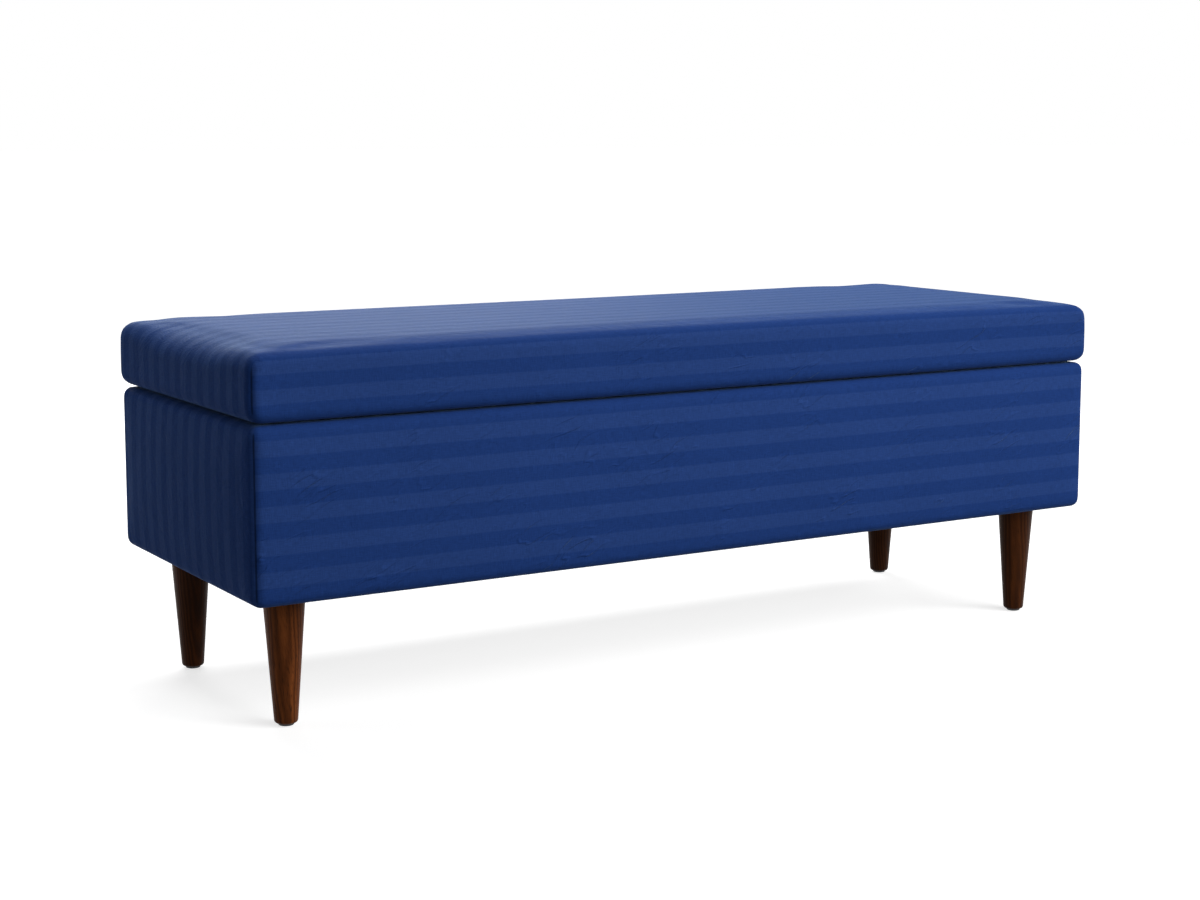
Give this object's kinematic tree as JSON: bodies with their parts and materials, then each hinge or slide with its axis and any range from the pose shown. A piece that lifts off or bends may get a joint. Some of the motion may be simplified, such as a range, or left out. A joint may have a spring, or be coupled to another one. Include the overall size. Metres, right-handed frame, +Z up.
{
  "type": "storage ottoman bench",
  "caption": "Long padded storage bench with a hinged, gas-sprung padded lid over a lined well, on round tapered wooden legs.",
  "frame": {"origin": "on the floor, under the middle of the bench (bottom centre of its box)", "axes": "+X along the bench's length, -Y towards the front (the side away from the hinges), +Z up"},
  "size_m": [1.274, 0.452, 0.457],
  "materials": {
    "blue_stripe_fabric": "woven tonal stripe, matt",
    "lining_fabric": "black non-woven",
    "foam": "open-cell polyurethane foam",
    "wadding": "polyester wadding",
    "plywood": "raw birch plywood",
    "softwood": "planed pine",
    "walnut_stain": "walnut-stained, satin lacquer",
    "zinc_steel": "bright zinc plate",
    "black_steel": "satin black paint",
    "chromed_rod": "hard chrome, polished",
    "black_nylon": "moulded nylon"
  },
  "bodies": {
    "base": {"front_panel": "plywood", "back_panel": "plywood", "left_panel": "plywood", "right_panel": "plywood", "bottom_panel": "plywood", "leg_blocks": "softwood", "floor_cleats": "softwood", "cross_rails": "softwood", "frame_screws": "zinc_steel", "floor_screws": "zinc_steel", "front_foam": "foam", "back_foam": "foam", "left_foam": "foam", "right_foam": "foam", "box_cover": "blue_stripe_fabric", "box_lining": "lining_fabric", "floor_lining": "lining_fabric", "dust_cover": "lining_fabric", "leg_front_left": "walnut_stain", "leg_front_right": "walnut_stain", "leg_back_left": "walnut_stain", "leg_back_right": "walnut_stain", "leg_plates": "zinc_steel", "leg_plate_screws": "zinc_steel", "hanger_bolts": "zinc_steel", "leg_glides": "black_nylon", "hinge_base_leaves": "zinc_steel", "hinge_pins": "zinc_steel", "hinge_base_screws": "zinc_steel", "strut_wall_bracket_left": "zinc_steel", "strut_wall_bracket_right": "zinc_steel", "wall_ball_studs": "zinc_steel", "wall_bracket_screws": "zinc_steel"},
    "lid": {"lid_panel": "plywood", "lid_foam": "foam", "lid_batting": "wadding", "lid_cover": "blue_stripe_fabric", "lid_lining": "lining_fabric", "hinge_lid_leaves": "zinc_steel", "hinge_lid_screws": "zinc_steel", "strut_lid_bracket_left": "zinc_steel", "strut_lid_bracket_right": "zinc_steel", "lid_ball_studs": "zinc_steel", "lid_bracket_screws": "zinc_steel"},
    "strut_tube_left": {"strut_tube_left": "black_steel", "strut_guide_left": "black_nylon", "strut_tube_socket_left": "black_nylon"},
    "strut_rod_left": {"strut_rod_left": "chromed_rod", "strut_piston_left": "black_nylon", "strut_rod_socket_left": "black_nylon"},
    "strut_tube_right": {"strut_tube_right": "black_steel", "strut_guide_right": "black_nylon", "strut_tube_socket_right": "black_nylon"},
    "strut_rod_right": {"strut_rod_right": "chromed_rod", "strut_piston_right": "black_nylon", "strut_rod_socket_right": "black_nylon"}
  },
  "joints": [
    {"name": "lid_hinge", "type": "hinge", "parent": "base", "child": "lid", "pos_m": [0, 0.222, 0.368], "axis": [-1, 0, 0], "range_deg": [0, 80], "stiffness_Nm_per_rad": 10.6, "springref_deg": 115.74},
    {"name": "left_tube_pivot", "type": "hinge", "parent": "base", "child": "strut_tube_left", "pos_m": [-0.586, 0.18097, 0.20818], "axis": [-1, 0, 0], "range_deg": [0, 40]},
    {"name": "left_rod_pivot", "type": "hinge", "parent": "lid", "child": "strut_rod_left", "pos_m": [-0.586, 0.05751, 0.35505], "axis": [-1, 0, 0], "range_deg": [-40, 0]},
    {"name": "right_tube_pivot", "type": "hinge", "parent": "base", "child": "strut_tube_right", "pos_m": [0.586, 0.18097, 0.20818], "axis": [-1, 0, 0], "range_deg": [0, 40]},
    {"name": "right_rod_pivot", "type": "hinge", "parent": "lid", "child": "strut_rod_right", "pos_m": [0.586, 0.05751, 0.35505], "axis": [-1, 0, 0], "range_deg": [-40, 0]}
  ],
  "couplings": [
    {"joint": "left_tube_pivot", "follows": "lid_hinge", "ratio": 0.5},
    {"joint": "left_rod_pivot", "follows": "lid_hinge", "ratio": -0.5},
    {"joint": "right_tube_pivot", "follows": "lid_hinge", "ratio": 0.5},
    {"joint": "right_rod_pivot", "follows": "lid_hinge", "ratio": -0.5}
  ]
}
